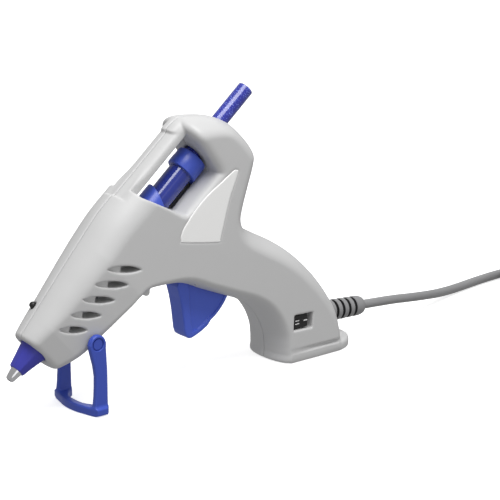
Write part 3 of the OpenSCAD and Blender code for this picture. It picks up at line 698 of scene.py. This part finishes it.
def trigger():
    """The trigger: a blade hollowed round its pivot, with shallow side panels, and the forked arm."""
    step = 0.3
    lo, hi = (-32, -6, 16), (18, 6, 75)
    x, y, z = grid(lo, hi, step)
    ay = np.abs(y)
    f = smax(outline(TRIGGER, x, z), ay - TRIGGER_HALF, 1.1)
    f = smax(f, -np.maximum(ay - 2.6, outline(HUB_ROOM, x, z)), 0.4)
    f = smax(f, -np.maximum(outline(PANEL, x, z), TRIGGER_HALF - 0.9 - ay), 0.7)
    lean = 90 + math.degrees(BARREL) - SWING_HALF
    c, k = math.cos(math.radians(lean)), math.sin(math.radians(lean))
    p, q = (x - PIVOT[0]) * c + (z - PIVOT[1]) * k, (z - PIVOT[1]) * c - (x - PIVOT[0]) * k
    reach = (BAR_T + 36) / math.cos(math.radians(SWING_HALF))
    arm = smax(np.maximum(-1 - p, p - reach - 3.2), np.abs(q) - 3.5, 1.0)
    arm = smax(arm, -np.maximum(np.abs(q) - 1.58, reach - 2.6 - p), 0.3)
    arm = smax(arm, np.maximum(2.6 - ay, ay - TRIGGER_HALF), 0.5)
    f = smin(f, arm, 0.4)
    f = np.maximum(f, -rod(x - PIVOT[0], z - PIVOT[1], 1.56))
    # The trigger gets the lighter blue: painted light.
    place(skin("trigger_skin", f, lo, step), "trigger", ["trigger"], [trigger_blue_painted_light])


LEG = [(-65.3, 31), (-65.2, 28.4), (-64.5, 25.5), (-63.5, 21.5), (-62.9, 17), (-63.0, 12.5),
       (-63.3, 8), (-63.8, 4), (-64, -3), (-57.1, -3), (-57.1, 20), (-57.6, 31), (-61, 34)]
STAND_INNER = 12.2
LEG_T = 2.6
CROSS_HEIGHT = 3.6


def stand():
    """Two legs with eyes, a bowed crosspiece and a lug outside each leg."""
    h = STAND_INNER + LEG_T
    cross = [(-63.4, -h), (-65.8, -8), (-66.8, -3), (-66.8, 3), (-65.8, 8), (-63.4, h),
             (-57.6, h), (-57.6, h - LEG_T), (-60.4, 9.5), (-62.6, 6), (-63.2, 3), (-63.2, -3),
             (-62.6, -6), (-60.4, -9.5), (-57.6, LEG_T - h), (-57.6, -h)]
    step = 0.25
    lo, hi = (-68, -17, -0.75), (-55.5, 17, 36)
    x, y, z = grid(lo, hi, step)
    ay = np.abs(y)
    leg = smin(rod(x - STAND_AT[0], z - STAND_AT[1], 3.9), outline(LEG, x, z), 1.0)
    f = smax(leg, np.maximum(STAND_INNER - ay, ay - h), 0.9)
    bar = smax(outline(closed_curve(cross, 3), x, y), z - CROSS_HEIGHT, 0.9)
    f = smin(f, bar, 1.2)
    lug = smax(np.maximum(np.abs(x + 60.8) - 2.8, np.abs(z - 1.9) - 1.5),
               np.maximum(h - 0.5 - ay, ay - h - 1.4), 0.6)
    f = smin(f, lug, 0.6)
    f = smax(f, -z, 0.5)
    f = smax(f, -np.maximum(rod(x - STAND_AT[0], z - STAND_AT[1], 2.7), h - 0.9 - ay), 0.3)
    f = np.maximum(f, -rod(x - STAND_AT[0], z - STAND_AT[1], 1.57))
    place(skin("stand_skin", f, lo, step), "stand", ["stand"], [blue])


# ---- switch marks, strain relief, cord and plug ----

BOOT_AT = (72.0, 0.0, 14.6)
BOOT_TIP = math.radians(3.2)
BOOT_R = 4.9
RIDGES = 4
RIDGE_START = 3.4
RIDGE_PITCH = 3.75


def boot():
    """The strain relief, with the floors of its grooves painted dark as shade."""
    profile = [(-6.5, 2.2), (-6.5, 5.9), (-4.8, 5.9), (-4.8, BOOT_R)]
    for k in range(RIDGES):
        h, r = RIDGE_START + RIDGE_PITCH * k, BOOT_R - 0.09 * k
        profile += [(h, r), (h + 0.3, r - 0.3), (h + 0.4, 3.2), (h + 1.7, 3.2),
                    (h + 1.8, r - 0.35), (h + 2.1, r)]
    profile += [(19.2, BOOT_R - 0.35), (20.4, BOOT_R - 0.6), (21.4, 3.9), (21.9, 3.2), (22.1, 2.2)]
    axis = (math.cos(BOOT_TIP), 0, -math.sin(BOOT_TIP))
    o = lathe("strain_relief_skin", profile, axis_frame(BOOT_AT, axis), 96)
    paint(o, vinyl, groove_painted_shade)
    base, direction = Vector(BOOT_AT), Vector(axis)
    # Faces deep in the grooves get the dark finish: painted shade.
    for p in o.data.polygons:
        v = p.center / MM - base
        h = v.dot(direction)
        if 3 < h < 18 and (v - direction * h).length < 4.0:
            p.material_index = 1
    place(o, "body", ["strain_relief"])


# The cord's route, as in part.scad: out of the clamp, through the boot, down to the bench.
ROUTE = [(53, 0, 15.9), (62, 0, 15.3), (72, 0, 14.6), (83, 0, 14.0), (94, 0, 13.3), (104, 0.4, 12.5),
         (116, 1.5, 11.2), (128, 3.6, 9.2), (140, 7, 6.9), (152, 11, 4.6), (164, 14.8, 2.9),
         (176, 17.6, 2.15), (190, 19.7, 2.1), (204, 20.8, 2.1), (218, 21, 2.1)]
CORD_D = 4.6
CORD_HEIGHT = 0.92  # of its width
CORD_WAIST = 0.16
CORD_WAIST_SPREAD = 0.28
CORD_SIDES = 24
COIL_X, COIL_Y, COIL_R = 218.0, -7.0, 22.0
# Each turn's offset from the coil's mean radius, its height, and where in the turn it moves on.
TURNS = [(6, 2.1, 0.8), (2, 2.1, 0.8), (-2, 2.1, 0.8), (-6, 2.1, 0.5), (-4, 5.7, 0.5),
         (0, 5.7, 0.5), (4, 5.7, 0.5)]
PLUG_X = COIL_X - 9
PLUG_Y = COIL_Y + 17
PLUG_Z = 14.6


def smooth(points, n=8):
    """A smooth open curve through 3-D points, n steps between each two."""
    p = np.array(points, float)
    p = np.vstack([2 * p[0] - p[1], p, 2 * p[-1] - p[-2]])
    out = []
    for a, b, c, d in zip(p, p[1:], p[2:], p[3:]):
        for t in np.arange(n) / n:
            out.append(0.5 * (2 * b + (c - a) * t + (2 * a - 5 * b + 4 * c - d) * t**2
                              + (3 * b - a - 3 * c + d) * t**3))
    out.append(p[-2])
    return np.array(out)


def coil_points(per_turn=24):
    """Seven turns, the last three quarters long and rising at its end."""
    points = []
    for k, (dr, z, when) in enumerate(TURNS):
        last = k + 1 == len(TURNS)
        nxt = (dr, 8.4, 0.64) if last else TURNS[k + 1]
        for i in range(per_turn * 3 // 4 if last else per_turn):
            f = i / per_turn
            e = np.clip((f - (nxt[2] if last else when) + 0.14) / 0.28, 0, 1)
            e = e * e * (3 - 2 * e)
            r = COIL_R + dr + (nxt[0] - dr) * e
            a = math.radians(90 - 360 * f)
            points.append((COIL_X + r * math.cos(a), COIL_Y + r * math.sin(a), z + (nxt[1] - z) * e))
    return points[1:]


def tail_points():
    """Off the last turn, over the others and into the plug."""
    points = []
    for a, z in ((180, 8.4), (155, 9.9), (130, 11.7), (107, 13.2)):
        c = math.radians(a)
        points.append((PLUG_X + 17 * math.cos(c), COIL_Y + 17 * math.sin(c), z))
    return points + [(PLUG_X + 1, PLUG_Y, 14.2), (PLUG_X + 8, PLUG_Y, PLUG_Z)]


def cord():
    """The cord from the boot to the plug, a little flat, with a waist along its top and bottom."""
    line = smooth(ROUTE[2:] + coil_points() + tail_points(), 4)
    tangent = np.gradient(line, axis=0)
    tangent /= np.linalg.norm(tangent, axis=1)[:, None]
    side = np.cross(tangent, (0.0, 0.0, 1.0))
    side /= np.linalg.norm(side, axis=1)[:, None]
    up = np.cross(side, tangent)
    m = CORD_SIDES
    turn = 2 * math.pi * np.arange(m) / m
    lobe = 1 - CORD_WAIST * np.exp(-(np.abs(np.cos(turn)) / CORD_WAIST_SPREAD) ** 2)
    across, high = CORD_D / 2 * np.cos(turn), CORD_D / 2 * CORD_HEIGHT * np.sin(turn) * lobe
    co = line[:, None] + across[None, :, None] * side[:, None] + high[None, :, None] * up[:, None]
    n = len(line)
    quads = [(i * m + j, i * m + (j + 1) % m, (i + 1) * m + (j + 1) % m, (i + 1) * m + j)
             for i in range(n - 1) for j in range(m)]
    for row in (0, (n - 1) * m):  # close both ends
        strip = [(row + j, row + j + 1, row + m - 2 - j, row + m - 1 - j) for j in range(m // 2 - 1)]
        quads += strip if row else [q[::-1] for q in strip]
    o = mesh_object("mains_cord", co.reshape(-1, 3) * MM, np.array(quads))
    place(o, "body", ["cord", "cord_coil"], [vinyl])
    length = float(np.linalg.norm(np.diff(line, axis=0), axis=1).sum())
    return o, line, length


def plug():
    """A plain two-pin plug with finger grooves, a ribbed neck and round pins."""
    step = 0.4
    lo, hi = (PLUG_X - 1, PLUG_Y - 15, 6.8), (PLUG_X + 40, PLUG_Y + 15, 23)
    x, y, z = grid(lo, hi, step)
    u, v, w = y - PLUG_Y, x - PLUG_X, z - PLUG_Z
    wide = 12.6 - 3.5 * np.clip((26 - v) / 13, 0, 1) ** 2
    f = smax(smax(np.abs(u) - wide, np.abs(w) - 6.6 + 0 * v, 5.0), np.maximum(13 - v, v - 37), 3.0)
    neck = smax(rod(u, w, 3.3 + 0.12 * v), np.maximum(-v, v - 15), 1.0)
    for k in range(4):
        neck = smax(neck, -np.maximum(np.abs(v - 2 - 2.6 * k) - 0.5, 3.2 - rod(u, w, 0)), 0.4)
    f = smin(f, neck, 2.0)
    for k in range(3):
        f = smax(f, -np.maximum(np.abs(v - 18 - 3.2 * k) - 0.6, 11.4 - np.abs(u) + 0 * w), 0.6)
    o = skin("plug_skin", f, lo, step)
    place(o, "body", ["plug_body"], [vinyl])
    pins = []
    for k, dy in enumerate((-9.3, 9.3)):
        pin = [(0, 0.01), (0, 2.0), (9.5, 2.0), (9.7, 1.9), (17.4, 1.9), (18.4, 1.5), (19, 0.7),
               (19.1, 0.01)]
        p = lathe(f"plug_pin_{k + 1}", pin, axis_frame((PLUG_X + 36.5, PLUG_Y + dy, PLUG_Z), (1, 0, 0)), 40)
        pins.append(place(p, "body", ["plug_pins"], [brass]))
    return [o, *pins]


def tie():
    """A flat strap round the coil's turns on the far side from the cord."""
    step = 0.2
    y0 = COIL_Y - COIL_R
    lo, hi = (COIL_X - 4, y0 - 11, -0.6), (COIL_X + 4, y0 + 11, 10.5)
    x, y, z = grid(lo, hi, step)
    around = smax(np.abs(y - y0) - 8.9, np.abs(z - 4.3) - 4.25, 4.0)
    f = smax(np.abs(around + 0.35) - 0.35, np.abs(x - COIL_X) - 2.0, 0.3)
    o = skin("cord_tie_skin", f, lo, step)
    return place(o, "body", ["cord_tie"], [black])


CAD_FINISH = {
    steel: ["housing_screws", "heater_clip", "sleeve_clamp", "drive_pin", "trigger_pin",
            "trigger_spring"],
    cast: ["melt_chamber"],
    ceramic: ["heater"],
    film: ["insulation"],
    silicone: ["inlet_sleeve", "wiring"],
    rubber: ["gripper"],
    blue: ["stand_pins"],
    black: ["switch_body", "switch_slider", "cord_clamp"],
}


def carried_nodes():
    """CAD nodes whose shape is right keep it and get a finish and softened edges."""
    for finish, names in CAD_FINISH.items():
        for name in names:
            o = paint(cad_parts[name], finish)
            edge = o.modifiers.new("soft_edges", "BEVEL")
            edge.width = 0.12 * MM
            edge.segments = 2
            edge.limit_method = "ANGLE"
            edge.angle_limit = math.radians(40)


# Setting marks: x from, x to and height of each bar.
MARKS = [(43.6, 46.0, 19.0), (43.6, 46.0, 17.6), (48.3, 50.6, 18.5)]


def switch_marks():
    """Generic setting marks: two bars on the slider, one in the recess beside it."""
    for k, (x0, x1, z) in enumerate(MARKS):
        bar = [(x0, z - 0.28), (x1, z - 0.2), (x1, z + 0.32), (x0, z + 0.24)]
        flat_piece(f"switch_mark_{k + 1}", bar, -13.75, -13.2, "slider", white_print)


camera()
studio()
flex, route, flex_length = cord()
plug_pieces = plug()
strap = tie()
boot()
nozzle()
nozzle_cover()
indicator()
feed()
trigger()
stand()
housing(-1, "left_housing_skin", "left_housing")
housing(1, "right_housing_skin", "right_housing")
flat_piece("label_skin", closed_curve(LABEL, 4), -HALF_WIDTH - 0.08, -HALF_WIDTH + 0.5, "body",
           label, ["label_plate"])
carried_nodes()
switch_marks()
